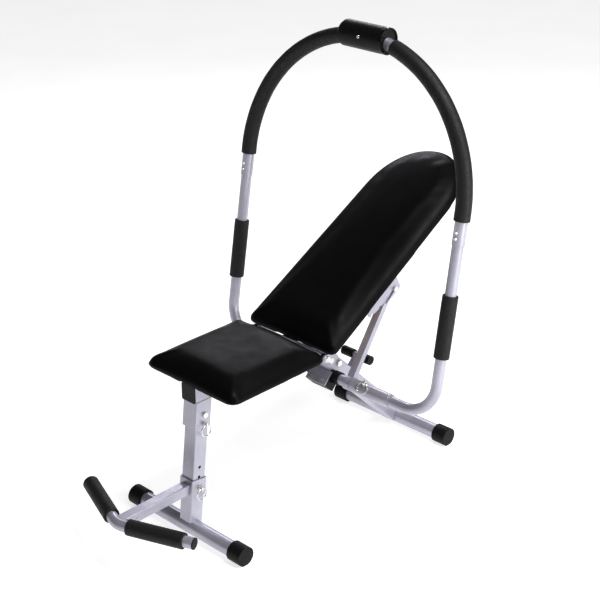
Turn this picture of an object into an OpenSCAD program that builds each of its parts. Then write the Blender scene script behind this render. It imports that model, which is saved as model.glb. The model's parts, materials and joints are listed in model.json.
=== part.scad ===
// Ab crunch bench: a seat and a reclining back on a folding steel frame, with a swinging hoop.
// Millimetres. X runs to the right, Y from the front foot to the rear foot, Z up.
// Sizes are laid out with Y = 0 at the front foot; bench() then centres the part on its own box.

/* [Frame] */
// Distance between the axes of the front and rear foot tubes
foot_span = 865; // [840:5:880]
// Length of a foot tube over its rubber caps
foot_len = 450; // [420:10:500]
// Outer diameter of a foot tube
foot_tube_d = 45; // [40:1:48]
// Side of the square rail under the seat
rail_w = 50; // [46:1:52]
// Height of the underside of the rail
rail_z = 405; // [400:1:410]
// Side of the square rear leg
leg_w = 50; // [46:1:52]
// Forward lean of the rear leg from upright, degrees
leg_lean = 45.9; // [45:0.1:47]

/* [Front post] */
// Side of the square front post
post_w = 45; // [40:1:46]
// Backward lean of the post, degrees
post_lean = 6.5; // [5:0.5:8]
// Distance between the lock holes in the post
hole_pitch = 30; // [28:1:32]
// Height of the lowest lock hole, along the post
hole_first = 148; // [146:1:150]
// Reach of the foot bar in front of the front foot
foot_bar_reach = 246.3; // [230:0.1:260]
// Sweep of the two halves of the foot bar, degrees
foot_bar_sweep = 20.8; // [15:0.1:24]

/* [Pads] */
// Width of the seat pad
seat_w = 340; // [320:2:346]
// Width of the back pad at its lower end
pad_w = 334; // [320:2:340]
// Length of the seat pad
seat_len = 350; // [330:2:350]
// Length of the back pad
back_len = 760; // [740:5:770]
// How much narrower each side of the back pad gets towards its round top
back_taper = 12; // [8:1:16]
// Rise of the middle of a pad over its edge
crown = 18; // [12:1:22]
// Angle of the back at rest, degrees from level
recline = 30.1; // [29:0.1:32]

/* [Hoop] */
// Half the distance between the hoop's legs, and the radius of its arch
hoop_r = 400; // [390:1:410]
// Height of the centre of the arch above the pivot, along the hoop
arch_z = 583; // [570:1:600]
// Backward lean of the hoop at rest, degrees
hoop_lean = 9; // [8:0.5:10]
// Outer diameter of the lower arms and of the axle
arm_d = 31.8; // [31:0.1:32]
// Outer diameter of the arch tubes
arch_d = 35; // [34:0.5:36]
// Outer diameter of the foam on the arch
foam_d = 45; // [42:1:48]

/* [Hidden] */
$fn = 72;

silver = [0.76, 0.76, 0.82];
zinc = [0.80, 0.79, 0.75];
black = [0.07, 0.07, 0.08];
foam_black = [0.13, 0.13, 0.14];
vinyl_black = [0.05, 0.05, 0.06];
plywood = [0.62, 0.50, 0.36];

eps = 0.01;
wall = 2.5;

// Feet
foot_r = foot_tube_d / 2;
cap_r = 28;
cap_axis_z = 27;
cap_len = 46;
cap_wall = 4;

// Front post, measured in its own leaning frame
post_y = 3.4;
pivot_y = 3;
pivot_h = 364;
post_top = 369;
lock_h = 338;
bolt_r = 5;
hole_r = 4.5;
slack = 0.5;
bracket_in = post_w / 2 + slack;
bracket_out = bracket_in + wall;
bracket_gap = 2;
carriage_h = 51;
carriage_low = 122;
carriage_out = bracket_in + 3;

// Foot bar
foot_bar_d = 31.8;
foot_bar_half = 209;
foot_bend_r = 60;
foot_bend_y = foot_bend_r * (1 / cos(foot_bar_sweep) - 1);
front_reach = -foot_bar_reach + foot_bend_y - foot_bar_d / 2;
foot_bar_z = 145;
foot_arm_w = 30;
grip_d = 44;

// Lock pins with pull rings
pin_r = 4;
ring_r = 17;
ring_wire = 1.75;
pin_head_out = 14;
ring_hole_out = 9.5;

// Back hinge A, hoop and strut pivot B, and the strut's upper pin P
hinge = [400, 439];
hinge_tube_r = 12.5;
hinge_half = 127;
pivot = [550, 288];
strut_len = 302;
strut_lean = 34;
strut_ratio = 0.9667;
recline_range = 30;

// Back, measured along (s) and below (d) a line through hinge A
pad_s = 9;
pad_d = -45;
pad_thick = 36;
board_thick = 10;
rail_d = pad_d + pad_thick;
back_rail_in = 112.5;
back_rail_out = 137.5;
back_rail_h = 20;
back_rail_end = 560;
back_corner = 22;
back_rise = 196;
ear_thick = 5;
rack_thick = 4.5;

// Rearmost point is the lower corner of the back pad's top; the middle of the box becomes Y = 0
back_reach = hinge[0] + (pad_s + back_len) * cos(recline) + rail_d * sin(recline);
mid_y = (front_reach + back_reach) / 2;

// Strut
strut_in = 84;
strut_w = 22;
strut_deep = 18;
eye_r = 20.5;
strut_pin_r = 5;

// Hoop
axle_r = arm_d / 2;
socket_r = 20;
socket_in = 107.5;
socket_out = 250;
axle_half = 125;
bend_r = 100;
arm_top = 540;
arch_low = 502;
foam_low = 568;
roller_r = 37;
roller_half = 79;
foam_end_right = 98;
foam_end_left = 85;
hoop_pin_x = 158;
hoop_pin_tilt = 18;

// ---------- placing ----------

module bench() translate([0, -mid_y, 0]) children();

module post_frame() bench() translate([0, post_y, 0]) rotate([-post_lean, 0, 0]) children();

module leg_frame() bench() translate([0, foot_span, cap_axis_z]) rotate([leg_lean, 0, 0]) children();

// Along X, then s along the back and d below it: y is s, z is minus d
module back_frame_place() bench() translate([0, hinge[0], hinge[1]]) rotate([recline, 0, 0]) children();

module strut_frame() bench() translate([0, pivot[0], pivot[1]]) rotate([-strut_lean, 0, 0]) children();

module hoop_frame() bench() translate([0, pivot[0], pivot[1]]) rotate([-hoop_lean, 0, 0]) children();

module both_sides() for (side = [0, 1]) mirror([side, 0, 0]) children();

// ---------- basic shapes ----------

module rod_x(x0, x1, r) translate([x0, 0, 0]) rotate([0, 90, 0]) cylinder(r = r, h = x1 - x0);

module pipe_x(x0, x1, r_out, r_in) difference() {
    rod_x(x0, x1, r_out);
    rod_x(x0 - 1, x1 + 1, r_in);
}

module box_span(x0, x1, y0, y1, z0, z1) translate([x0, y0, z0]) cube([x1 - x0, y1 - y0, z1 - z0]);

// Outline of a square tube with rounded edges
module round_square(w, r) for (a = [0:90:270]) rotate(a) {
    translate([w / 2 - r, w / 2 - r]) circle(r);
    translate([-w / 2, -w / 2 + r]) square([w / 2 + eps, w - 2 * r]);
}

module square_tube(w, z0, z1, r = 4) translate([0, 0, z0]) linear_extrude(z1 - z0) difference() {
    round_square(w, r);
    round_square(w - 2 * wall, r - wall + 0.5);
}

// Plate in the YZ plane between two X values
module side_plate(x0, x1, points) translate([x0, 0, 0]) rotate([90, 0, 90]) linear_extrude(x1 - x0)
    polygon(points);

module hex_x(x0, x1, across) translate([x0, 0, 0]) rotate([0, 90, 0])
    cylinder(d = across / cos(30), h = x1 - x0, $fn = 6);

module ring_shape(r, wire) rotate_extrude() translate([r, 0]) circle(wire, $fn = 32);

// Bend of a tube in the XZ plane, from straight down at angle a0 over an angle a
module bend(r, tube_r, a0, a) rotate([90, 0, 0]) rotate([0, 0, a0]) rotate_extrude(angle = a)
    translate([r, 0]) circle(tube_r);

// Lens-topped slab with round corners, its underside at z = 0 and its edge at z = edge_h
module crowned_slab(outline_w, len, edge_h, rise, corner) {
    ball_r = (pow(outline_w / 2, 2) + pow(rise, 2)) / (2 * rise);
    intersection() {
        linear_extrude(edge_h + rise) hull() for (x = [-1, 1], y = [-1, 1])
            translate([x * (outline_w / 2 - corner), y * (len / 2 - corner)]) circle(corner);
        translate([0, 0, edge_h + rise - ball_r]) rotate([90, 0, 0])
            cylinder(r = ball_r, h = len + 2, center = true, $fn = 200);
    }
}

// ---------- feet ----------

module foot_pipe() pipe_x(-foot_len / 2 + cap_wall, foot_len / 2 - cap_wall, foot_r, foot_r - wall);

module foot_cap() difference() {
    rod_x(foot_len / 2 - cap_len, foot_len / 2, cap_r);
    rod_x(foot_len / 2 - cap_len - 1, foot_len / 2 - cap_wall, foot_r);
    box_span(0, foot_len, -cap_r, cap_r, -cap_r - 1, -cap_axis_z);
}

module at_front_foot() bench() translate([0, 0, cap_axis_z]) children();

module at_rear_foot() bench() translate([0, foot_span, cap_axis_z]) children();

module rear_stabilizer() color(silver) at_rear_foot() foot_pipe();

module rear_caps() color(black) at_rear_foot() both_sides() foot_cap();

module front_stabilizer() color(silver) at_front_foot() foot_pipe();

module front_caps() color(black) at_front_foot() both_sides() foot_cap();

// ---------- rail and rear leg ----------

rail_front = 19;
rail_end_top = 411;
rail_end_low = 438;
rail_top = rail_z + rail_w;

module main_rail() color(silver) bench() difference() {
    translate([0, 0, rail_z + rail_w / 2]) rotate([-90, 0, 0]) square_tube(rail_w, rail_front, rail_end_low);
    side_plate(-rail_w, rail_w, [[rail_end_top, rail_top + 1], [rail_end_low, rail_z - 1],
        [rail_end_low + 9, rail_z - 1], [rail_end_low + 9, rail_top + 1]]);
    translate([0, hinge[0], hinge[1]]) rod_x(-rail_w, rail_w, hinge_tube_r);
}

module rail_plug() color(black) bench() {
    lip = 4;
    translate([0, rail_front - lip, rail_z + rail_w / 2]) rotate([-90, 0, 0]) {
        linear_extrude(lip) round_square(rail_w, 4);
        translate([0, 0, lip]) linear_extrude(18) round_square(rail_w - 2 * wall - 0.4, 1.8);
    }
}

module front_bracket() color(silver) difference() {
    post_frame() difference() {
        box_span(-bracket_out, bracket_out, -post_w / 2 - bracket_gap - wall, post_w / 2 + 3, 326, 420);
        box_span(-bracket_in, bracket_in, -post_w / 2 - bracket_gap, post_w, 300, 440);
        translate([0, pivot_y, pivot_h]) rod_x(-40, 40, bolt_r);
        translate([0, pivot_y, lock_h]) rod_x(0, 40, pin_r + 0.05);
    }
    bench() box_span(-40, 40, -60, 140, rail_z, rail_z + 60);
}

module front_pivot_bolt() color(zinc) post_frame() translate([0, pivot_y, pivot_h]) {
    rod_x(-bracket_out - 7, bracket_out + 1, bolt_r);
    hex_x(bracket_out, bracket_out + 6, 15);
    difference() {
        hex_x(-bracket_out - 6, -bracket_out, 15);
        rod_x(-bracket_out - 7, -bracket_out + 1, bolt_r - eps);
    }
}

leg_end = 543;
leg_bolt_spots = [[454, 0], [520, 0], [408, 10]];

module leg_bolt_holes(r) for (spot = leg_bolt_spots) translate([0, spot[1], spot[0]]) rod_x(-60, 60, r);

module rear_leg() color(silver) leg_frame() difference() {
    square_tube(leg_w, 8, leg_end);
    rod_x(-60, 60, foot_r);
    leg_bolt_holes(bolt_r);
    for (h = [262, 289]) translate([0, 6, h]) rod_x(-60, 60, 3);
    at_pivot_in_leg() rod_x(-60, 60, bush_seat_r);
}

gusset_thick = 3.5;
gusset_low = 427;
gusset_outline = [[372, 407], [372, 454], [414, 454], [440, 404], [452, 400], [494, 429], [575.5, 343],
    [541, 307.5], [457, 386.5], [444, 385], [430, 407]];

module gusset() difference() {
    bench() side_plate(leg_w / 2, leg_w / 2 + gusset_thick, gusset_outline);
    leg_frame() leg_bolt_holes(bolt_r);
    bench() translate([0, hinge[0], hinge[1]]) rod_x(0, 60, hinge_tube_r);
}

module gussets() color(silver) both_sides() gusset();

module leg_bolts() color(zinc) leg_frame() for (spot = leg_bolt_spots) translate([0, spot[1], spot[0]]) {
    face = leg_w / 2 + (spot[0] > gusset_low ? gusset_thick : 0);
    rod_x(-face - 7, face, bolt_r);
    hex_x(face, face + 6.5, 17);
    hex_x(-face - 6.5, -face, 17);
}

// ---------- bearing of the hoop ----------

block_half = 38;
block_low = -71;
block_front = 429;
block_rear = 386;
bush_seat_r = 18;
block_hole = [pivot_in_leg()[0], pivot_in_leg()[1]];

// The pivot axis in the leg's own frame: distance across it and along it
function pivot_in_leg() = let (dy = pivot[0] - foot_span, dz = pivot[1] - cap_axis_z)
    [dy * cos(leg_lean) + dz * sin(leg_lean), -dy * sin(leg_lean) + dz * cos(leg_lean)];

module at_pivot_in_leg() translate([0, block_hole[0], block_hole[1]]) children();

clamp_bolt_x = 23;
clamp_bolt_y = -62;

module pivot_block() color(black) leg_frame() difference() {
    box_span(-block_half, block_half, block_low, -leg_w / 2, block_rear, block_front);
    at_pivot_in_leg() rod_x(-60, 60, bush_seat_r);
    for (side = [-1, 1]) translate([side * clamp_bolt_x, clamp_bolt_y, block_front - 24]) cylinder(r = 4, h = 40);
}

module clamp_plate() color(silver) leg_frame() difference() {
    box_span(-block_half, block_half, block_low, -leg_w / 2 - 1, block_front, block_front + 4);
    for (side = [-1, 1]) translate([side * clamp_bolt_x, clamp_bolt_y, block_front - 1]) cylinder(r = 4, h = 40);
}

module clamp_bolts() color(zinc) leg_frame() for (side = [-1, 1])
    translate([side * clamp_bolt_x, clamp_bolt_y, block_front + 4]) {
        cylinder(d = 13 / cos(30), h = 5.5, $fn = 6);
        translate([0, 0, -26]) cylinder(r = 4, h = 27);
    }

module axle_bush() leg_frame() at_pivot_in_leg() difference() {
    union() {
        rod_x(4, block_half, bush_seat_r);
        rod_x(block_half, 60, socket_r);
    }
    rod_x(0, 70, axle_r + 0.06);
}

module axle_bushes() color(black) both_sides() axle_bush();

// ---------- hinge of the back ----------

hinge_bolt_in = 110;
washer_out = hinge_half + 10.3;

module at_hinge() bench() translate([0, hinge[0], hinge[1]]) children();

module hinge_tube() color(silver) at_hinge() difference() {
    rod_x(-hinge_half, hinge_half, hinge_tube_r);
    rod_x(-hinge_bolt_in, hinge_bolt_in, hinge_tube_r - wall);
    rod_x(-hinge_half - 1, hinge_half + 1, bolt_r);
}

module hinge_washers() color(black) at_hinge() both_sides()
    pipe_x(hinge_half, washer_out, hinge_tube_r, bolt_r);

module hinge_bolts() color(zinc) at_hinge() both_sides() {
    rod_x(hinge_bolt_in, back_rail_out + ear_thick + 1, bolt_r);
    hex_x(back_rail_out + ear_thick + 0.5, back_rail_out + ear_thick + 7, 16);
}

// ---------- rest bar on the rear leg ----------

rest_bar_h = 311.5;
rest_bar_rise = 70;
rest_bar_half = 54;
rest_rod_r = 9;

module at_rest_bar() leg_frame() translate([0, rest_bar_rise, rest_bar_h]) children();

module rest_bar() color(silver) {
    leg_frame() box_span(-10, 10, leg_w / 2, rest_bar_rise - 3, rest_bar_h - 6, rest_bar_h + 6);
    at_rest_bar() rod_x(-rest_bar_half + 3, rest_bar_half - 3, rest_rod_r);
}

module rest_bar_sleeve() color(black) at_rest_bar() both_sides() difference() {
    rod_x(12, rest_bar_half, 14);
    rod_x(11, rest_bar_half - 3, rest_rod_r);
    rod_x(11, rest_bar_half + 1, 3);
}

// ---------- seat ----------

seat_front = 16;
seat_mid = seat_front + seat_len / 2;
seat_bar_y = [95, 290];
seat_screw_x = 95;
seat_bar_t = 4;
seat_board_z = rail_top + seat_bar_t;
seat_skirt = 3.8;
seat_pad_z = seat_board_z - seat_skirt;
seat_edge_h = 30.8;
seat_corner = 24;
board_inset = 12;

module seat_bars() color(silver) bench() for (y = seat_bar_y) difference() {
    box_span(-120, 120, y - 15, y + 15, rail_top, rail_top + seat_bar_t);
    both_sides() translate([seat_screw_x, y, 0]) cylinder(r = 3, h = 600);
}

module seat_screws() color(zinc) bench() for (y = seat_bar_y) both_sides() translate([seat_screw_x, y, 0]) {
    translate([0, 0, rail_top - 4]) cylinder(d = 10 / cos(30), h = 4, $fn = 6);
    translate([0, 0, rail_top - 1]) cylinder(r = 3, h = seat_bar_t + 8);
}

module seat_board_outline() hull() for (x = [-1, 1], y = [-1, 1])
    translate([x * (seat_w / 2 - seat_corner), y * (seat_len / 2 - seat_corner)]) circle(seat_corner - board_inset);

module seat_board() color(plywood) bench() difference() {
    translate([0, seat_mid, seat_board_z]) linear_extrude(board_thick) seat_board_outline();
    for (y = seat_bar_y) both_sides() translate([seat_screw_x, y, seat_board_z - 1]) cylinder(r = 3, h = 8);
}

module seat_pad() color(vinyl_black) bench() difference() {
    translate([0, seat_mid, seat_pad_z]) crowned_slab(seat_w, seat_len, seat_edge_h, crown, seat_corner);
    translate([0, seat_mid, seat_pad_z - 1]) linear_extrude(board_thick + seat_skirt + 1) seat_board_outline();
}

// ---------- front post ----------

module front_post() color(silver) difference() {
    post_frame() difference() {
        square_tube(post_w, 30, post_top);
        for (i = [0:2]) translate([0, 0, hole_first + i * hole_pitch]) rod_x(-40, 40, hole_r);
        translate([0, pivot_y, lock_h]) rod_x(-40, 40, hole_r);
        translate([0, pivot_y, pivot_h]) rod_x(-40, 40, bolt_r + 0.08);
    }
    at_front_foot() rod_x(-60, 60, foot_r);
}

// ---------- leg-hold carriage ----------

module carriage_sleeve() color(silver) post_frame() difference() {
    translate([0, 0, carriage_low]) linear_extrude(carriage_h) difference() {
        round_square(2 * carriage_out, 4);
        round_square(2 * bracket_in, 2);
    }
    translate([0, 0, hole_first]) rod_x(0, 60, pin_r + 0.05);
}

// Straight halves of the foot bar and the bend between them, cut and joined at the middle plane
module foot_bar_core(r, half) both_sides() intersection() {
    bend_x = foot_bend_r * tan(foot_bar_sweep);
    rotate([0, 0, foot_bar_sweep]) translate([bend_x, 0, 0]) {
        rod_x(0, half / cos(foot_bar_sweep) - bend_x, r);
        mirror([1, 0, 0]) translate([0, foot_bend_r, 0]) rotate([0, 0, -90])
            rotate_extrude(angle = foot_bar_sweep + 10) translate([foot_bend_r, 0]) circle(r);
    }
    box_span(0, foot_len, -foot_bend_r, foot_len, -foot_bend_r, foot_bend_r);
}

module at_foot_bar() bench() translate([0, -foot_bar_reach, foot_bar_z]) children();

module foot_bar_arm() color(silver) difference() {
    bench() translate([0, 0, foot_bar_z]) rotate([-90, 0, 0])
        square_tube(foot_arm_w, -foot_bar_reach, 20, 3);
    at_foot_bar() foot_bar_core(foot_bar_d / 2, foot_bar_half);
    at_foot_bar() box_span(-40, 40, -40, foot_bend_y + 2, -40, 40);
    post_frame() box_span(-40, 40, -carriage_out, 60, 0, 300);
}

foot_bore_r = foot_bar_d / 2 - 1.8;

module foot_bar() color(silver) at_foot_bar() difference() {
    foot_bar_core(foot_bar_d / 2, foot_bar_half);
    foot_bar_core(foot_bore_r, foot_bar_half + 10);
}

module foot_plugs() color(black) at_foot_bar() both_sides() rotate([0, 0, foot_bar_sweep])
    translate([foot_bar_half / cos(foot_bar_sweep), 0, 0]) {
        rod_x(0, 3, foot_bar_d / 2);
        rod_x(-14, 0, foot_bore_r);
    }

module foot_foam(from, to) at_foot_bar() rotate([0, 0, foot_bar_sweep])
    pipe_x(from / cos(foot_bar_sweep), to / cos(foot_bar_sweep), grip_d / 2, foot_bar_d / 2);

module foot_foam_right() color(foam_black) foot_foam(31, 184);

module foot_foam_left() color(foam_black) mirror([1, 0, 0]) foot_foam(40, 208);

// ---------- lock pins and rings ----------

// A pin along +X: tip at x0, through a wall whose outer face is at x = 0, with a drilled flat head
module lock_pin(x0) difference() {
    union() {
        rod_x(x0, 3, pin_r);
        rod_x(0.4, 4, 6.5);
        intersection() {
            rod_x(3, pin_head_out, 6.5);
            box_span(0, pin_head_out, -2.75, 2.75, -7, 7);
        }
    }
    translate([ring_hole_out, 20, 0]) rotate([90, 0, 0]) cylinder(r = 2.6, h = 40);
}

// The ring of that pin, hanging along -z from the head's hole
module lock_ring() translate([ring_hole_out, 0, -ring_r]) rotate([0, 90, 0]) ring_shape(ring_r, ring_wire);

module at_front_lock() post_frame() translate([bracket_out, pivot_y, lock_h]) children();

module at_carriage_lock() post_frame() translate([carriage_out, 0, hole_first]) children();

module front_lock_pin() color(zinc) at_front_lock() rotate([post_lean, 0, 0])
    lock_pin(post_w / 2 + 0.4 - bracket_out);

module front_lock_ring() color(zinc) at_front_lock() rotate([post_lean, 0, 0]) lock_ring();

module carriage_lock_pin() color(zinc) at_carriage_lock() rotate([post_lean, 0, 0])
    lock_pin(post_w / 2 + 0.4 - carriage_out);

module carriage_lock_ring() color(zinc) at_carriage_lock() rotate([post_lean, 0, 0]) lock_ring();

// Radial place on the right arm socket: +x of lock_pin points out of the socket
module at_hoop_lock() bench() translate([hoop_pin_x, pivot[0], pivot[1]]) rotate([hoop_pin_tilt, 0, 0])
    translate([0, 0, socket_r]) rotate([0, -90, 0]) children();

module hoop_lock_pin() color(zinc) at_hoop_lock() rotate([90, 0, 0]) lock_pin(-14);

// This ring lies against the socket: its tilt makes it a tangent to the socket's outside
ring_gap = 0.35;
ring_lean = asin((socket_r + ring_wire + ring_gap) / (socket_r + ring_hole_out)) - hoop_pin_tilt;

module hoop_lock_ring() color(zinc) at_hoop_lock() translate([ring_hole_out, 0, 0]) rotate([0, 90, 0])
    rotate([-ring_lean - hoop_pin_tilt, 0, 0]) translate([0, 0, -ring_r]) rotate([90, 0, 0])
    ring_shape(ring_r, ring_wire);

// ---------- back ----------

module back_box(x0, x1, s0, s1, d0, d1) box_span(x0, x1, s0, s1, -d1, -d0);

// Strut pin seen from the back's frame, when the back is raised by angle up
function strut_pin_at(up) = let (
    lean = strut_lean - strut_ratio * up,
    py = pivot[0] + strut_len * sin(lean) - hinge[0],
    pz = pivot[1] + strut_len * cos(lean) - hinge[1],
    tilt = recline + up)
    [py * cos(tilt) + pz * sin(tilt), py * sin(tilt) - pz * cos(tilt)];

pin_path = [for (up = [0:2.5:recline_range + 7.5]) strut_pin_at(up)];
path_half = strut_pin_r + 0.6;
band_ease = 0.17;

// Band that the strut pin sweeps in the rack plate
module pin_band() {
    for (p = pin_path) translate(p) circle(path_half, $fn = 48);
    for (i = [0:len(pin_path) - 2]) {
        step = pin_path[i + 1] - pin_path[i];
        normal = [-step[1], step[0]] / norm(step) * (path_half - band_ease);
        polygon([pin_path[i] + normal, pin_path[i + 1] + normal, pin_path[i + 1] - normal, pin_path[i] - normal]);
    }
}

rack_far = strut_pin_at(0)[0] + 24;
rack_near = strut_pin_at(recline_range)[0] - 12;

// Rack plate: a row of catches over the pin's path, and a lip that closes the lowest one
module rack_outline() {
    rest_pin = strut_pin_at(0);
    rack_top = rail_d + 1;
    lip = rest_pin + [0, 8];
    difference() {
        union() {
            translate([rack_near, rack_top]) square([rack_far - rack_near, rest_pin[1] + 5 - rack_top]);
            translate([rest_pin[0] - 42, rack_top + 3]) square([66, lip[1] - rack_top + 1]);
            for (s = [-42, 15]) translate(lip + [s, 0]) circle(9);
            translate(lip - [42, 0]) square([57, 9]);
        }
        pin_band();
        for (up = [10, 20, 30]) translate(strut_pin_at(up) - [0, 4.5]) circle(path_half, $fn = 48);
    }
}

module back_rack() back_frame_place() translate([back_rail_in - rack_thick, 0, 0]) rotate([90, 0, 90])
    linear_extrude(rack_thick) mirror([0, 1]) rack_outline();

module back_racks() color(silver) both_sides() back_rack();

ear_outline = [[0, -8], [20, rail_d + 1], [95, rail_d + 1], [95, rail_d + back_rail_h],
    [30, rail_d + back_rail_h], [4, 12]];

module back_ear() translate([back_rail_out, 0, 0]) rotate([90, 0, 90]) linear_extrude(ear_thick) mirror([0, 1])
    difference() {
        union() {
            circle(hinge_tube_r);
            polygon(ear_outline);
        }
        circle(bolt_r + 0.08);
    }

back_screw_s = [110, 520];
back_screw_x = 125;

module back_frame() color(silver) back_frame_place() {
    difference() {
        both_sides() {
            difference() {
                back_box(back_rail_in, back_rail_out, 26, back_rail_end, rail_d, rail_d + back_rail_h);
                back_box(back_rail_in + 2, back_rail_out - 2, 28, back_rail_end - 2, rail_d + 2,
                    rail_d + back_rail_h - 2);
            }
            back_ear();
        }
        for (s = back_screw_s) both_sides() translate([back_screw_x, s, -rail_d - 40]) cylinder(r = 3, h = 60);
    }
    for (s = [120, 470]) difference() {
        back_box(-back_rail_in, back_rail_in, s, s + 25, rail_d, rail_d + back_rail_h);
        back_box(-back_rail_in - 1, back_rail_in + 1, s + 2, s + 23, rail_d + 2, rail_d + back_rail_h - 2);
    }
}

module back_screws() color(zinc) back_frame_place() for (s = back_screw_s) both_sides()
    translate([back_screw_x, s, -rail_d - back_rail_h]) {
        translate([0, 0, -4]) cylinder(d = 10 / cos(30), h = 4, $fn = 6);
        translate([0, 0, -1]) cylinder(r = 3, h = back_rail_h + 8);
    }

// Outline of the back: small corners below, sides that draw in, a wide round top
module back_outline(inset) {
    w = pad_w / 2 - inset;
    arc_s = back_len - back_rise;
    hull() {
        for (x = [-1, 1]) translate([x * (w - back_corner), inset + back_corner]) circle(back_corner);
        for (a = [0:6:180])
            translate([(w - back_taper) * cos(a), arc_s + (back_rise - inset) * sin(a)]) circle(0.1, $fn = 6);
    }
}

module back_board() color(plywood) back_frame_place() difference() {
    translate([0, pad_s, -rail_d]) linear_extrude(board_thick) back_outline(12);
    for (s = back_screw_s) both_sides() translate([back_screw_x, s, -rail_d - 1]) cylinder(r = 3, h = 8);
}

// Slant at the pad's lower edge, which passes the seat when the back is raised
back_slant = [[-1, 24], [27, 54], [27, 70], [-1, 70]];
// Relief below that edge, over the rear end of the main rail
rail_relief = [[-1, 20], [3, 12.8], [9.6, 8.9], [9.6, 8], [-1, 8]];

module back_pad() color(vinyl_black) back_frame_place() difference() {
    ball_r = (pow(pad_w / 2, 2) + pow(crown, 2)) / (2 * crown);
    intersection() {
        translate([0, pad_s, -rail_d]) linear_extrude(pad_thick + crown) back_outline(0);
        translate([0, 0, -pad_d + crown - ball_r - 10]) rotate([-90, 0, 0])
            cylinder(r = ball_r, h = back_len + 40, $fn = 200);
    }
    for (cut = [back_slant, rail_relief]) translate([0, pad_s, 0]) side_plate(-pad_w, pad_w, cut);
    translate([0, pad_s, -rail_d - 1]) linear_extrude(board_thick + 1) back_outline(12);
}

// ---------- strut ----------

module strut_arm() difference() {
    union() {
        rod_x(strut_in, strut_in + strut_w, eye_r);
        box_span(strut_in, strut_in + strut_w, -strut_deep / 2, strut_deep / 2, 0, strut_len);
        translate([0, 0, strut_len]) rod_x(strut_in, strut_in + strut_w, strut_deep / 2);
    }
    box_span(strut_in + 2, strut_in + strut_w - 2, -strut_deep / 2 + 2, strut_deep / 2 - 2, 24, strut_len - 12);
    rod_x(0, 200, axle_r + 0.06);
    translate([0, 0, strut_len]) rod_x(0, 200, strut_pin_r);
}

module strut() color(silver) strut_frame() {
    both_sides() strut_arm();
    translate([0, 0, 236]) difference() {
        box_span(-strut_in, strut_in, -strut_deep / 2, strut_deep / 2, 0, 20);
        box_span(-strut_in - 1, strut_in + 1, -strut_deep / 2 + 2, strut_deep / 2 - 2, 2, 18);
    }
}

module strut_pin() color(zinc) strut_frame() translate([0, 0, strut_len]) {
    rod_x(-back_rail_in - 1, back_rail_in + 1, strut_pin_r);
    both_sides() rod_x(back_rail_in + 0.6, back_rail_in + 7, 8);
}

// ---------- hoop ----------

module axle_tube() color(silver) hoop_frame() pipe_x(-axle_half, axle_half, axle_r, axle_r - 2);

// Sleeve that takes the lower arm, with a slit across its front
module arm_socket() hoop_frame() difference() {
    rod_x(socket_in, socket_out, socket_r);
    rod_x(socket_in - 1, socket_out + 1, axle_r);
    rotate([40, 0, 0]) rotate([0, 90, 0]) translate([0, 0, 134]) rotate([0, 0, 125])
        rotate_extrude(angle = 110) translate([axle_r - 1, 0]) square([10, 4]);
    rotate([hoop_lean + hoop_pin_tilt, 0, 0]) translate([hoop_pin_x, 0, 0]) cylinder(r = pin_r + 0.05, h = 40);
}

module arm_socket_right() color(silver) arm_socket();

module arm_socket_left() color(silver) mirror([1, 0, 0]) arm_socket();

module arm_path(r, extra) {
    rod_x(axle_half + 3 - extra, hoop_r - bend_r, r);
    translate([hoop_r - bend_r, 0, bend_r]) bend(bend_r, r, -90, 90);
    translate([hoop_r, 0, bend_r]) cylinder(r = r, h = arm_top - bend_r + extra);
}

rivet_h = [520, 537];
rivet_r = 2.5;

module rivet_holes() for (h = rivet_h) translate([hoop_r, 0, h]) rotate([90, 0, 0])
    cylinder(r = rivet_r, h = 40);

module hoop_arm() hoop_frame() difference() {
    arm_path(axle_r, 0);
    arm_path(axle_r - 2, 2);
    rotate([hoop_lean + hoop_pin_tilt, 0, 0]) translate([hoop_pin_x, 0, 0]) cylinder(r = pin_r + 0.05, h = 40);
    rivet_holes();
}

module hoop_arm_right() color(silver) hoop_arm();

module hoop_arm_left() color(silver) mirror([1, 0, 0]) hoop_arm();

module arch_quarter(r, low, a) {
    translate([hoop_r, 0, low]) cylinder(r = r, h = arch_z - low);
    translate([0, 0, arch_z]) bend(hoop_r, r, 0, a);
}

module at_roller() hoop_frame() translate([0, 0, arch_z + hoop_r]) children();

module arch_half() difference() {
    hoop_frame() arch_quarter(arch_d / 2, arch_low, 90);
    hoop_frame() arch_quarter(axle_r, arch_low - 2, 90.5);
    hoop_frame() rivet_holes();
    at_roller() roller_screw_hole();
}

module arch_tube_right() color(silver) arch_half();

module arch_tube_left() color(silver) mirror([1, 0, 0]) arch_half();

module arm_rivets() color(zinc) hoop_frame() both_sides() for (h = rivet_h)
    translate([hoop_r, 0, h]) rotate([90, 0, 0]) {
        translate([0, 0, axle_r - 2]) cylinder(r = rivet_r, h = 5);
        translate([0, 0, arch_d / 2]) cylinder(r1 = 4.5, r2 = 3, h = 2.5);
    }

grip_low = 182;
grip_high = 361;

module grips() color(foam_black) hoop_frame() both_sides() translate([hoop_r, 0, grip_low]) difference() {
    cylinder(d = grip_d, h = grip_high - grip_low);
    translate([0, 0, -1]) cylinder(r = axle_r, h = grip_high);
}

module arch_foam(a) hoop_frame() difference() {
    arch_quarter(foam_d / 2, foam_low, a);
    arch_quarter(arch_d / 2, foam_low - 2, 90);
}

module arch_foam_right() color(foam_black) arch_foam(acos(foam_end_right / hoop_r));

module arch_foam_left() color(foam_black) mirror([1, 0, 0]) arch_foam(acos(foam_end_left / hoop_r));

// ---------- roller at the top of the hoop ----------

screw_r = 2.5;
shell_half = 72;
shell_in = roller_r - 3.5;
cap_x = 75;
cap_bore_r = 18.2;

module roller_screw_hole() rotate([90, 0, 0]) cylinder(r = screw_r, h = roller_r + 1);

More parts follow.
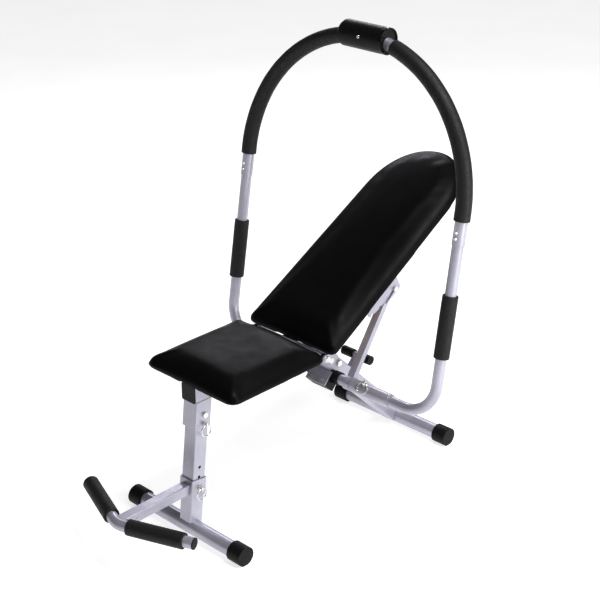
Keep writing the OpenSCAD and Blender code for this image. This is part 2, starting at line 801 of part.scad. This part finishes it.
// Tube inside the arch tubes where they meet
module arch_ferrule() color(silver) difference() {
    hoop_frame() translate([0, 0, arch_z]) difference() {
        bend(hoop_r, axle_r, 84, 12);
        bend(hoop_r, axle_r - 2, 83, 14);
    }
    at_roller() roller_screw_hole();
}

module roller_shell() color(black) at_roller() difference() {
    pipe_x(-shell_half, shell_half, roller_r, shell_in);
    roller_screw_hole();
}

module roller_screw() color(zinc) at_roller() rotate([90, 0, 0]) {
    translate([0, 0, axle_r - 3]) cylinder(r = screw_r, h = roller_r - axle_r + 3.5);
    translate([0, 0, roller_r]) cylinder(r1 = 5, r2 = 3.4, h = 2);
}

// Bore of an end cap, which follows the slope of the arch there
module cap_bore() translate([cap_x, 0, sqrt(pow(hoop_r, 2) - pow(cap_x, 2)) - hoop_r])
    rotate([0, asin(cap_x / hoop_r), 0]) rod_x(-20, 20, cap_bore_r);

module roller_cap_right() color(black) at_roller() difference() {
    union() {
        rod_x(shell_half, roller_half, roller_r);
        rod_x(shell_half - 6, shell_half, shell_in);
    }
    rod_x(roller_half - 3, roller_half + 1, roller_r - 4);
    cap_bore();
}

module roller_cap_left() color(black) at_roller() mirror([1, 0, 0]) difference() {
    union() {
        translate([shell_half, 0, 0]) rotate([0, 90, 0])
            cylinder(r1 = roller_r, r2 = roller_r - 5, h = roller_half - shell_half);
        rod_x(shell_half - 6, shell_half, shell_in);
    }
    cap_bore();
}

main_rail();
rail_plug();
front_bracket();
front_pivot_bolt();
gussets();
rear_leg();
rear_stabilizer();
rear_caps();
pivot_block();
clamp_plate();
clamp_bolts();
axle_bushes();
leg_bolts();
hinge_tube();
hinge_washers();
hinge_bolts();
rest_bar();
rest_bar_sleeve();
seat_bars();
seat_screws();
seat_board();
seat_pad();
front_post();
front_stabilizer();
front_caps();
carriage_sleeve();
foot_bar_arm();
foot_bar();
foot_plugs();
foot_foam_right();
foot_foam_left();
front_lock_pin();
front_lock_ring();
carriage_lock_pin();
carriage_lock_ring();
back_frame();
back_racks();
back_screws();
back_board();
back_pad();
strut();
strut_pin();
axle_tube();
arm_socket_right();
arm_socket_left();
hoop_arm_right();
hoop_arm_left();
arch_tube_right();
arch_tube_left();
arm_rivets();
grips();
arch_foam_right();
arch_foam_left();
arch_ferrule();
roller_shell();
roller_cap_right();
roller_cap_left();
roller_screw();
hoop_lock_pin();
hoop_lock_ring();
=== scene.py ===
import json
import math

import bpy
import numpy as np
from mathutils import Matrix, Vector, noise


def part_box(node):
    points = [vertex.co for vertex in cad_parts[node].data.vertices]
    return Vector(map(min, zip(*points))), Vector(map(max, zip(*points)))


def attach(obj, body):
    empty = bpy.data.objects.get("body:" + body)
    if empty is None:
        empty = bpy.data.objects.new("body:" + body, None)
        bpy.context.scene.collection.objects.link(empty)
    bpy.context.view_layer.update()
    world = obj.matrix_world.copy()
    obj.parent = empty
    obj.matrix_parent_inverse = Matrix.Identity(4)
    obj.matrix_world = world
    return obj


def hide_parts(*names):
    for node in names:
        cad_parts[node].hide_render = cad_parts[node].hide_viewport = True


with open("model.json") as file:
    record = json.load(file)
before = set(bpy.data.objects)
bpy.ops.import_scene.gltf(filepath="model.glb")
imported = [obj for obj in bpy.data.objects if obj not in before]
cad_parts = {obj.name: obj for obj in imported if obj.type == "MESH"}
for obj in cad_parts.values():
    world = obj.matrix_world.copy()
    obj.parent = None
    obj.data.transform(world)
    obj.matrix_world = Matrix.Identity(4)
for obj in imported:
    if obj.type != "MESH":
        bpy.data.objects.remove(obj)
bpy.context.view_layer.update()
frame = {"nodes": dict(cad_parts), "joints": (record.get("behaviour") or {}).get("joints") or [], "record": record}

MM = 0.001
NODES = frame["nodes"]
SLOT_OF = {s["node"]: s["material_slot"] for s in frame["record"]["subparts"]}
JOINTS = {j["name"]: j for j in frame["joints"]}


# ---------- materials ----------

class Mat:
    """A Principled material with helpers that add procedural detail in the object's own metres."""

    def __init__(self, name, **constants):
        self.mat = bpy.data.materials.new(name)
        self.mat.use_nodes = True
        self.tree = self.mat.node_tree
        self.shader = self.tree.nodes["Principled BSDF"]
        for key, value in constants.items():
            self.shader.inputs[key.replace("_", " ")].default_value = value
        self.coord = self.tree.nodes.new("ShaderNodeTexCoord").outputs["Object"]

    def node(self, kind, inputs=None, **props):
        made = self.tree.nodes.new("ShaderNode" + kind)
        for key, value in props.items():
            setattr(made, key, value)
        for key, value in (inputs or {}).items():
            if isinstance(value, bpy.types.NodeSocket):
                self.tree.links.new(value, made.inputs[key])
            else:
                made.inputs[key].default_value = value
        return made

    def stretch(self, scale):
        return self.node("Mapping", {"Vector": self.coord, "Scale": scale}).outputs["Vector"]

    def noise(self, scale, detail=3.0, rough=0.55, vector=None):
        return self.node("TexNoise", {"Vector": vector or self.coord, "Scale": scale, "Detail": detail,
                                      "Roughness": rough}).outputs["Fac"]

    def cells(self, scale, feature="F1", vector=None):
        return self.node("TexVoronoi", {"Vector": vector or self.coord, "Scale": scale},
                         feature=feature).outputs["Distance"]

    def spread(self, value, low, high, from_low=0.3, from_high=0.7):
        return self.node("MapRange", {"Value": value, "From Min": from_low, "From Max": from_high,
                                      "To Min": low, "To Max": high}).outputs["Result"]

    def blend(self, fac, a, b):
        made = self.node("Mix", data_type="RGBA")
        self.tree.links.new(fac, made.inputs["Factor"])
        made.inputs["A"].default_value = (*a, 1)
        made.inputs["B"].default_value = (*b, 1)
        return made.outputs["Result"]

    def set(self, socket, value):
        self.tree.links.new(value, self.shader.inputs[socket])

    def bump(self, *layers, normal=None):
        for height, strength, distance in layers:
            inputs = {"Height": height, "Strength": strength, "Distance": distance}
            if normal:
                inputs["Normal"] = normal
            normal = self.node("Bump", inputs).outputs["Normal"]
        self.set("Normal", normal)

    def rounded(self, radius):
        return self.node("Bevel", {"Radius": radius}, samples=4).outputs["Normal"]


def silver_paint():
    m = Mat("silver_paint", Metallic=0.5, Specular_IOR_Level=0.5, Coat_Weight=0.15, Coat_Roughness=0.2)
    tone = m.spread(m.noise(9, 4), 0, 1)
    m.set("Base Color", m.blend(tone, (0.42, 0.415, 0.485), (0.52, 0.515, 0.585)))
    flake = m.noise(2600, 1, 0.4)
    m.set("Roughness", m.spread(m.noise(45, 5, 0.65), 0.27, 0.42))
    m.bump((m.noise(420, 2, 0.5), 0.10, 0.0004), (flake, 0.06, 0.0001), normal=m.rounded(0.0011))
    return m.mat


def zinc_plate():
    m = Mat("zinc_plate", Metallic=1.0)
    tone = m.spread(m.noise(140, 3), 0, 1)
    m.set("Base Color", m.blend(tone, (0.70, 0.69, 0.66), (0.86, 0.855, 0.83)))
    m.set("Roughness", m.spread(m.noise(600, 3), 0.16, 0.34))
    m.bump((m.noise(900, 2), 0.12, 0.0002), normal=m.rounded(0.0005))
    return m.mat


def black_rubber():
    m = Mat("black_rubber", Specular_IOR_Level=0.22)
    tone = m.spread(m.noise(60, 4), 0, 1)
    m.set("Base Color", m.blend(tone, (0.005, 0.005, 0.0056), (0.010, 0.010, 0.011)))
    m.set("Roughness", m.spread(m.noise(120, 4), 0.40, 0.58))
    m.bump((m.noise(1500, 3), 0.25, 0.0003), normal=m.rounded(0.0018))
    return m.mat


def black_plastic(name, low, high, bump):
    m = Mat(name, Specular_IOR_Level=0.25)
    tone = m.spread(m.noise(80, 3), 0, 1)
    m.set("Base Color", m.blend(tone, (0.004, 0.004, 0.0045), (0.008, 0.008, 0.009)))
    m.set("Roughness", m.spread(m.noise(200, 4), low, high))
    m.bump((m.cells(1300), bump, 0.0002), normal=m.rounded(0.0009))
    return m.mat


def foam_rubber():
    m = Mat("foam_rubber", Specular_IOR_Level=0.5)
    tone = m.spread(m.noise(220, 4, 0.7), 0, 1)
    m.set("Base Color", m.blend(tone, (0.005, 0.0048, 0.0054), (0.013, 0.0124, 0.0136)))
    m.set("Roughness", m.spread(m.noise(90, 3), 0.5, 0.68))
    m.bump((m.cells(900), 0.35, 0.0004), (m.noise(2600, 3, 0.7), 0.45, 0.0003))
    return m.mat


def black_vinyl():
    m = Mat("black_vinyl", Specular_IOR_Level=0.12)
    grain = m.cells(760, "DISTANCE_TO_EDGE")
    crease_bump_and_painted_shade = m.spread(grain, 0, 1, 0.0, 0.12)
    # Base colour darkened in the grain's creases: painted shade. The same mask also gives the grain's bump.
    m.set("Base Color", m.blend(crease_bump_and_painted_shade, (0.0014, 0.0014, 0.0017), (0.0034, 0.0033, 0.0039)))
    m.set("Roughness", m.spread(m.noise(26, 5, 0.6), 0.34, 0.46))
    m.bump((crease_bump_and_painted_shade, 0.28, 0.00018), (m.noise(1900, 2), 0.10, 0.0001), (m.noise(38, 3), 0.12, 0.0012))
    return m.mat


def bare_plywood():
    m = Mat("bare_plywood", Specular_IOR_Level=0.3)
    grain = m.noise(14, 6, 0.6, m.stretch((14, 1, 14)))
    m.set("Base Color", m.blend(m.spread(grain, 0, 1), (0.36, 0.24, 0.13), (0.56, 0.42, 0.26)))
    m.set("Roughness", m.spread(grain, 0.55, 0.75))
    m.bump((grain, 0.2, 0.0004))
    return m.mat


FINISH = {
    "silver": silver_paint(),
    "zinc": zinc_plate(),
    "rubber": black_rubber(),
    "black_plastic": black_plastic("black_plastic", 0.34, 0.5, 0.2),
    "gloss_black": black_plastic("gloss_black", 0.08, 0.16, 0.03),
    "foam": foam_rubber(),
    "vinyl": black_vinyl(),
    "plywood": bare_plywood(),
}

for name, obj in NODES.items():
    obj.data.materials.clear()
    obj.data.materials.append(FINISH[SLOT_OF[name]])
    obj.data.polygons.foreach_set("material_index", [0] * len(obj.data.polygons))


# ---------- placing ----------

def turn_x(degrees):
    return Matrix.Rotation(math.radians(degrees), 4, "X")


HOOP_LEAN = 9
RECLINE = 30.1
FOOT_BAR_SWEEP = 20.8
PIVOT = Vector(JOINTS["hoop_swing"]["pos_m"])
HINGE = Vector(JOINTS["back_recline"]["pos_m"])
hoop_place = Matrix.Translation(PIVOT) @ turn_x(-HOOP_LEAN)
back_place = Matrix.Translation(HINGE) @ turn_x(RECLINE)


def new_piece(name, verts, faces, slot, body, *replaced):
    mesh = bpy.data.meshes.new(name)
    mesh.from_pydata([tuple(v) for v in verts], [], [tuple(f) for f in faces])
    mesh.validate()
    obj = bpy.data.objects.new(name, mesh)
    bpy.context.scene.collection.objects.link(obj)
    mesh.materials.append(FINISH[slot])
    mesh.polygons.foreach_set("use_smooth", [True] * len(mesh.polygons))
    return dress(obj, slot, body, *replaced)


def dress(obj, slot, body, *replaced):
    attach(obj, body)
    if replaced:
        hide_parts(*replaced)
    return obj


# ---------- foam sleeves ----------

AROUND = 96
RING_STEP = 2.6 * MM
END_ROUND = 1.8 * MM


def sleeve(name, path, frame_at, length, r_out, r_in, wrinkle, seed, body, *replaced):
    """A foam tube along a path: path(s) is its middle line, frame_at(s) two vectors across it."""
    steps = max(8, round(length / RING_STEP))
    stations = [0, 0.12, 0.3, 0.6] + [1 + i for i in range(steps - 1)]
    stations += [steps - 0.6, steps - 0.3, steps - 0.12, steps]
    angles = [2 * math.pi * k / AROUND for k in range(AROUND)]
    directions = [(math.cos(a), math.sin(a)) for a in angles]
    verts = []
    for st in stations:
        s = length * st / steps
        near = min(s, length - s)
        drop = END_ROUND * (1 - math.sqrt(max(0.0, 1 - (1 - min(1.0, near / END_ROUND)) ** 2)))
        centre = path(s)
        across, up = frame_at(s)
        for c, d in directions:
            lump = noise.noise(Vector((c, d, s * 22 + seed)))
            streak = noise.noise(Vector((c * 4.2, d * 4.2, s * 30 + seed)))
            crease = 1 - 2 * abs(noise.noise(Vector((c * 6.5, d * 6.5, s * 46 - seed))))
            r = r_out - drop - wrinkle + 0.3 * MM * lump + wrinkle * (streak + 0.5 * crease)
            verts.append(centre + (across * c + up * d) * r)
    for st in reversed(stations):
        s = min(max(length * st / steps, 0.05 * MM), length - 0.05 * MM)
        centre = path(s)
        across, up = frame_at(s)
        verts += [centre + (across * c + up * d) * r_in for c, d in directions]
    rings = 2 * len(stations)
    faces = []
    for i in range(rings):
        a0, b0 = i * AROUND, (i + 1) % rings * AROUND
        for k in range(AROUND):
            faces.append((a0 + k, a0 + (k + 1) % AROUND, b0 + (k + 1) % AROUND, b0 + k))
    piece = new_piece(name, verts, faces, "foam", body, *replaced)
    return piece


HOOP_R, ARCH_Z, FOAM_LOW, FOAM_R = 400 * MM, 583 * MM, 568 * MM, 22.5 * MM
ARCH_TUBE_R, ARM_R, GRIP_R = 17.5 * MM, 15.9 * MM, 22 * MM
FOAM_END = {1: 98 * MM, -1: 85 * MM}
GRIP_LOW, GRIP_HIGH = 182 * MM, 361 * MM


def arch_point(side, s):
    """Middle line of the arch's foam, and the direction away from the arch's centre."""
    straight = ARCH_Z - FOAM_LOW
    if s < straight:
        p, out = Vector((HOOP_R, 0, FOAM_LOW + s)), Vector((1, 0, 0))
    else:
        a = (s - straight) / HOOP_R
        out = Vector((math.cos(a), 0, math.sin(a)))
        p = out * HOOP_R + Vector((0, 0, ARCH_Z))
    flip = Vector((side, 1, 1))
    return hoop_place @ (p * flip), hoop_place.to_3x3() @ (out * flip)


for side, word in ((1, "right"), (-1, "left")):
    length = ARCH_Z - FOAM_LOW + HOOP_R * math.acos(FOAM_END[side] / HOOP_R)
    depth = hoop_place.to_3x3() @ Vector((0, 1, 0))
    sleeve(f"arch_sleeve_{word}", lambda s, d=side: arch_point(d, s)[0],
           lambda s, d=side: (arch_point(d, s)[1], depth), length, FOAM_R, ARCH_TUBE_R, 0.30 * MM,
           3.7 * side, "hoop", f"arch_foam_{word}")

for side, word in ((1, "right"), (-1, "left")):
    base = hoop_place @ Vector((side * HOOP_R, 0, GRIP_LOW))
    axis = hoop_place.to_3x3() @ Vector((0, 0, 1))
    rim = (Vector((1, 0, 0)), hoop_place.to_3x3() @ Vector((0, 1, 0)))
    sleeve(f"grip_sleeve_{word}", lambda s, b=base, d=axis: b + d * s, lambda s, f=rim: f,
           GRIP_HIGH - GRIP_LOW, GRIP_R, ARM_R, 0.14 * MM, 11.3 + side, "hoop",
           *(["grips"] if side == 1 else []))

foot_low, foot_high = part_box("foot_bar")
FOOT_FOAM = {1: (31 * MM, 184 * MM), -1: (40 * MM, 208 * MM)}
FOOT_BAR_R, FOOT_BEND_R = 15.9 * MM, 60 * MM
sweep = math.radians(FOOT_BAR_SWEEP)
foot_mid = Vector((0, foot_low.y + FOOT_BAR_R - FOOT_BEND_R * (1 / math.cos(sweep) - 1),
                   (foot_low.z + foot_high.z) / 2))
for side, word in ((1, "right"), (-1, "left")):
    axis = Vector((side * math.cos(sweep), math.sin(sweep), 0))
    rim = (Vector((-side * math.sin(sweep), math.cos(sweep), 0)), Vector((0, 0, 1)))
    start, stop = (x / math.cos(sweep) for x in FOOT_FOAM[side])
    sleeve(f"foot_sleeve_{word}", lambda s, d=axis, b=start: foot_mid + d * (b + s), lambda s, f=rim: f,
           stop - start, GRIP_R, FOOT_BAR_R, 0.14 * MM, 20.9 + side, "carriage", f"foot_foam_{word}")


# ---------- pads ----------

def arc(cx, cy, rx, ry, a0, a1, n):
    return [(cx + rx * math.cos(math.radians(a0 + (a1 - a0) * i / n)),
             cy + ry * math.sin(math.radians(a0 + (a1 - a0) * i / n))) for i in range(n + 1)]


def even_outline(points, step):
    """The same closed outline with points at an even distance."""
    loop = [Vector((*p, 0)) for p in points]
    loop.append(loop[0])
    run = [0.0]
    for a, b in zip(loop, loop[1:]):
        run.append(run[-1] + (b - a).length)
    count = round(run[-1] / step)
    made, j = [], 0
    for i in range(count):
        t = run[-1] * i / count
        while run[j + 1] < t:
            j += 1
        f = (t - run[j]) / max(run[j + 1] - run[j], 1e-9)
        made.append(loop[j].lerp(loop[j + 1], f))
    return made


def inset_at(point, lines):
    return min(n.x * (q.x - point.x) + n.y * (q.y - point.y) for q, n in lines)


def pad_shell(outline, spine, profile, dome):
    """Closed rings of a convex pad: profile gives (inset, height, share of the dome), low to high."""
    n = len(outline)
    lines = []
    for i, p in enumerate(outline):
        t = (outline[(i + 1) % n] - outline[i - 1]).normalized()
        lines.append((p, Vector((t.y, -t.x, 0))))
    verts = []
    for inset, z, share in profile:
        for p in outline:
            c = Vector((min(max(p.x, -spine[0]), spine[0]), min(max(p.y, spine[1]), spine[2]), 0))
            lo, hi = 0.0, 1.0
            for _ in range(18):
                mid = (lo + hi) / 2
                if inset_at(p.lerp(c, mid), lines) < inset:
                    lo = mid
                else:
                    hi = mid
            q = p.lerp(c, hi)
            verts.append(Vector((q.x, q.y, z + share * dome(q.x, q.y))))
    faces = [tuple(range(n))[::-1]]
    for r in range(len(profile) - 1):
        for k in range(n):
            faces.append((r * n + k, r * n + (k + 1) % n, (r + 1) * n + (k + 1) % n, (r + 1) * n + k))
    last = (len(profile) - 1) * n
    faces.append(tuple(range(last, last + n)))
    return verts, faces


def only(obj):
    bpy.ops.object.select_all(action="DESELECT")
    obj.select_set(True)
    bpy.context.view_layer.objects.active = obj


def apply(obj, kind, **settings):
    mod = obj.modifiers.new(kind, kind)
    for key, value in settings.items():
        setattr(mod, key, value)
    only(obj)
    bpy.ops.object.modifier_apply(modifier=mod.name)


def inflate(obj, pinned_below, pressure, cap, frames=20):
    """Blows the cover up as cloth, held where it is stapled to the board. It moves no further than cap."""
    start = np.array([v.co for v in obj.data.vertices])
    group = obj.vertex_groups.new(name="staples")
    group.add([v.index for v in obj.data.vertices if v.co.z < pinned_below], 1.0, "REPLACE")
    cloth = obj.modifiers.new("cloth", "CLOTH")
    cloth.settings.vertex_group_mass = "staples"
    cloth.settings.use_pressure = True
    cloth.settings.uniform_pressure_force = pressure
    cloth.settings.quality = 6
    cloth.settings.mass = 0.35
    cloth.settings.tension_stiffness = cloth.settings.compression_stiffness = 22
    cloth.settings.bending_stiffness = 1.2
    cloth.settings.effector_weights.gravity = 0
    cloth.collision_settings.use_collision = False
    cloth.point_cache.frame_start, cloth.point_cache.frame_end = 1, frames
    scene = bpy.context.scene
    scene.frame_start, scene.frame_end = 1, frames
    for f in range(1, frames + 1):
        scene.frame_set(f)
    only(obj)
    bpy.ops.object.modifier_apply(modifier=cloth.name)
    scene.frame_set(1)
    end = np.array([v.co for v in obj.data.vertices])
    move = end - start
    far = np.linalg.norm(move, axis=1, keepdims=True)
    end = start + move * np.minimum(1, cap / np.maximum(far, 1e-9))
    obj.data.vertices.foreach_set("co", end.ravel())
    obj.data.update()
    obj.vertex_groups.clear()


VOXEL, STAPLED, SWELL = 5 * MM, 11 * MM, 4.5 * MM
RAIL_CLEAR, RELIEF_HALF = 34 * MM, 62 * MM


def pad(name, outline, spine, profile, dome, place, body, corners, *replaced):
    verts, faces = pad_shell(outline, spine, profile, dome)
    piece = new_piece(name, verts, faces, "vinyl", body, *replaced)
    apply(piece, "REMESH", mode="VOXEL", voxel_size=VOXEL)
    apply(piece, "SMOOTH", factor=0.5, iterations=2)
    base = min(z for _, z, _ in profile)
    inflate(piece, pinned_below=base + STAPLED, pressure=4.0, cap=SWELL)
    apply(piece, "SMOOTH", factor=0.5, iterations=2)
    soften_top(piece, base)
    apply(piece, "SUBSURF", levels=1)
    pleat(piece, corners, base)
    scallop(piece, base, len(corners), RAIL_CLEAR)
    if body == "back":
        relieve(piece, RELIEF_HALF)
    piece.data.transform(place)
    piece.data.polygons.foreach_set("use_smooth", [True] * len(piece.data.polygons))
    piece.data.update()
    return piece


def soften_top(piece, base):
    """Evens out the crown, where the cover is taut, and leaves the sides and lower edge alone."""
    group = piece.vertex_groups.new(name="crown")
    for v in piece.data.vertices:
        group.add([v.index], min(1.0, max(0.0, (v.co.z - base - 13 * MM) / (10 * MM))), "REPLACE")
    apply(piece, "SMOOTH", factor=0.5, iterations=26, vertex_group="crown")
    piece.vertex_groups.clear()


def relieve(piece, half):
    """Lifts the back's lower edge clear of the main rail's end, at rest and when the back is raised."""
    for v in piece.data.vertices:
        share = min(1.0, max(0.0, (half - abs(v.co.x)) / (18 * MM)))
        lift = max(6.1 * MM - 0.58 * v.co.y, 11.3 * MM - 1.74 * v.co.y) - v.co.z
        if share and lift > 0 and v.co.y < 14 * MM:
            v.co.z += share * lift


def pleat(piece, corners, base):
    """Gathers the cover round a corner of the board: a lip, folds below it and a flat tuck."""
    for v in piece.data.vertices:
        for cx, cy, reach in corners:
            dx, dy = v.co.x - cx, v.co.y - cy
            if dx * cx < 0 or dy * cy < 0 and abs(dx) < reach * 0.3:
                continue
            away = math.hypot(dx, dy)
            turn = math.atan2(dy * math.copysign(1, cy), dx * math.copysign(1, cx))
            spread = max(0.0, 1 - abs(turn - math.pi / 4) / 0.95)
            if away < reach * 0.55 or away > 2.4 * reach or not spread:
                continue
            z = v.co.z - base
            spread = spread * spread * (3 - 2 * spread)
            lip = 1.6 * MM * math.exp(-((z - 9 * MM) / (3.2 * MM)) ** 2)
            tuck = -3.2 * MM * max(0.0, 1 - z / (7 * MM)) * (0.75 + 0.25 * math.cos(turn * 26))
            folds = 0.7 * MM * math.cos(turn * 26) * math.exp(-((z - 5 * MM) / (6 * MM)) ** 2)
            v.co.x += dx / away * spread * (lip + tuck + folds)
            v.co.y += dy / away * spread * (lip + tuck + folds)


def scallop(piece, base, seed, clear_half):
    """Waves the cover's lower edge between its staples, and lifts it over what passes below it."""
    for v in piece.data.vertices:
        z = v.co.z - base
        fade = max(0.0, 1 - z / (9 * MM))
        if fade:
            v.co.z += fade * 0.9 * MM * (1 + noise.noise(Vector((v.co.x * 34, v.co.y * 34, seed))))
        if v.co.z < 0 and abs(v.co.x) < clear_half:
            v.co.z *= max(0.0, (abs(v.co.x) / clear_half - 0.85) / 0.15)


def pad_profile(base, edge, roll):
    """Hollow underside, hanging lower edge, upright side and a broad roll over to the crown."""
    rows = [(60 * MM, base + 9 * MM, 0), (26 * MM, base + 9 * MM, 0), (20 * MM, base + 6 * MM, 0),
            (11 * MM, base + 3 * MM, 0), (7 * MM, base, 0), (3 * MM, base - 0.4 * MM, 0),
            (0.2 * MM, base + 2.5 * MM, 0), (0, base + 8 * MM, 0)]
    rise = edge - base - 12 * MM
    for i in range(1, 12):
        a = math.pi / 2 * i / 11
        rows.append((roll * (1 - math.cos(a)) ** 1.15, edge - rise * (1 - math.sin(a)), i / 11))
    rows += [(inset * MM, edge + 0.5 * MM, 1) for inset in (50, 62, 76, 90, 103, 114, 123)]
    return rows


seat_low, seat_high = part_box("seat_pad")
seat_mid = (seat_low + seat_high) / 2
FULL = 1.5 * MM
SEAT_LEN, SEAT_HALF = seat_high.y - seat_low.y + 2 * FULL, (seat_high.x - seat_low.x) / 2 + FULL
SEAT_EDGE, SEAT_CORNER = 30.8 * MM, 24 * MM
CROWN = 16 * MM
seat_x, seat_y = SEAT_HALF - SEAT_CORNER, SEAT_LEN / 2 - SEAT_CORNER
seat_outline = even_outline(
    [p for sx, sy, a in ((1, -1, -90), (1, 1, 0), (-1, 1, 90), (-1, -1, 180))
     for p in arc(sx * seat_x, sy * seat_y, SEAT_CORNER, SEAT_CORNER, a, a + 90, 8)], 6 * MM)


def seat_dome(x, y):
    return CROWN * (1 - (x / SEAT_HALF) ** 2) * (1 - 0.7 * (2 * y / SEAT_LEN) ** 4)


seat_corners = [(sx * seat_x, sy * seat_y, SEAT_CORNER) for sx in (-1, 1) for sy in (-1, 1)]
pad("seat_cushion", seat_outline, (40 * MM, -50 * MM, 50 * MM), pad_profile(-6 * MM, SEAT_EDGE, 38 * MM),
    seat_dome, Matrix.Translation((0, seat_mid.y, seat_low.z)), "frame", seat_corners, "seat_pad")

PAD_S, PAD_RISE, PAD_EDGE = 9 * MM, 9 * MM, 28 * MM
BACK_HALF, BACK_TAPER, BACK_LEN = 167 * MM + FULL, 12 * MM, 760 * MM + 2 * FULL
ARC_RISE, BACK_CORNER = 196 * MM, 22 * MM
back_outline = even_outline(
    arc(-BACK_HALF + BACK_CORNER, BACK_CORNER, BACK_CORNER, BACK_CORNER, 180, 270, 6)
    + arc(BACK_HALF - BACK_CORNER, BACK_CORNER, BACK_CORNER, BACK_CORNER, -90, 0, 6)
    + arc(0, BACK_LEN - ARC_RISE, BACK_HALF - BACK_TAPER, ARC_RISE, 2, 178, 44), 6 * MM)


def back_dome(x, y):
    end = max(0.0, 1 - y / (90 * MM), (y - BACK_LEN + ARC_RISE) / ARC_RISE)
    return CROWN * (1 - (x / BACK_HALF) ** 2) * (1 - 0.8 * min(1, end) ** 2)


back_corners = [(sx * (BACK_HALF - BACK_CORNER), BACK_CORNER - 0.001 * MM, BACK_CORNER) for sx in (-1, 1)]
pad("back_cushion", back_outline, (28 * MM, 125 * MM, BACK_LEN - 165 * MM),
    pad_profile(-2.4 * MM, PAD_EDGE, 34 * MM), back_dome,
    back_place @ Matrix.Translation((0, PAD_S - FULL, PAD_RISE)), "back", back_corners, "back_pad")


# ---------- camera, light and floor ----------

CAM_AT = Vector((2.464, -2.5314, 2.205))
CAM_LOOK = Vector((-0.6279, 0.6555, -0.4196))
camera = bpy.data.objects.new("camera", bpy.data.cameras.new("camera"))
camera.data.sensor_width, camera.data.lens = 36, 84.06
camera.location = CAM_AT
camera.rotation_euler = CAM_LOOK.to_track_quat("-Z", "Y").to_euler()
bpy.context.scene.collection.objects.link(camera)
bpy.context.scene.camera = camera


def soft_light(name, at, look, width, height, power, tint=(1, 1, 1)):
    light = bpy.data.lights.new(name, "AREA")
    light.shape, light.size, light.size_y = "RECTANGLE", width, height
    light.energy, light.color = power, tint
    obj = bpy.data.objects.new(name, light)
    obj.location = at
    obj.rotation_euler = (Vector(look) - Vector(at)).to_track_quat("-Z", "Y").to_euler()
    bpy.context.scene.collection.objects.link(obj)


soft_light("key", (3.7, 0.5, 1.5), (0, 0, 0.7), 1.8, 2.2, 92)
soft_light("overhead", (2.2, 0.6, 5.6), (0, 0.1, 0.3), 2.4, 2.4, 270)
soft_light("sheen", (-2.4, 2.6, 2.3), (0, -0.1, 0.5), 1.9, 1.1, 36, (0.96, 0.92, 1.0))

world = bpy.data.worlds.new("world")
world.use_nodes = True
world.node_tree.nodes["Background"].inputs["Color"].default_value = (1, 1, 1, 1)
world.node_tree.nodes["Background"].inputs["Strength"].default_value = 0.13
bpy.context.scene.world = world

FLOOR_HALF = 24
floor_mesh = bpy.data.meshes.new("floor")
floor_corners = [(x * FLOOR_HALF, y * FLOOR_HALF, 0) for x, y in ((-1, -1), (1, -1), (1, 1), (-1, 1))]
floor_mesh.from_pydata(floor_corners, [], [(0, 1, 2, 3)])
floor = bpy.data.objects.new("floor", floor_mesh)
bpy.context.scene.collection.objects.link(floor)
pale = Mat("pale_floor", Roughness=0.85, Specular_IOR_Level=0.1,
           Emission_Color=(1, 1, 1, 1), Emission_Strength=0.76)
pale_tone = pale.spread(pale.noise(3, 3), 0, 1)
pale.set("Base Color", pale.blend(pale_tone, (0.48, 0.48, 0.485), (0.53, 0.53, 0.535)))
floor_mesh.materials.append(pale.mat)

bpy.context.scene.view_settings.view_transform = "Standard"
bpy.context.scene.view_settings.gamma = 0.85
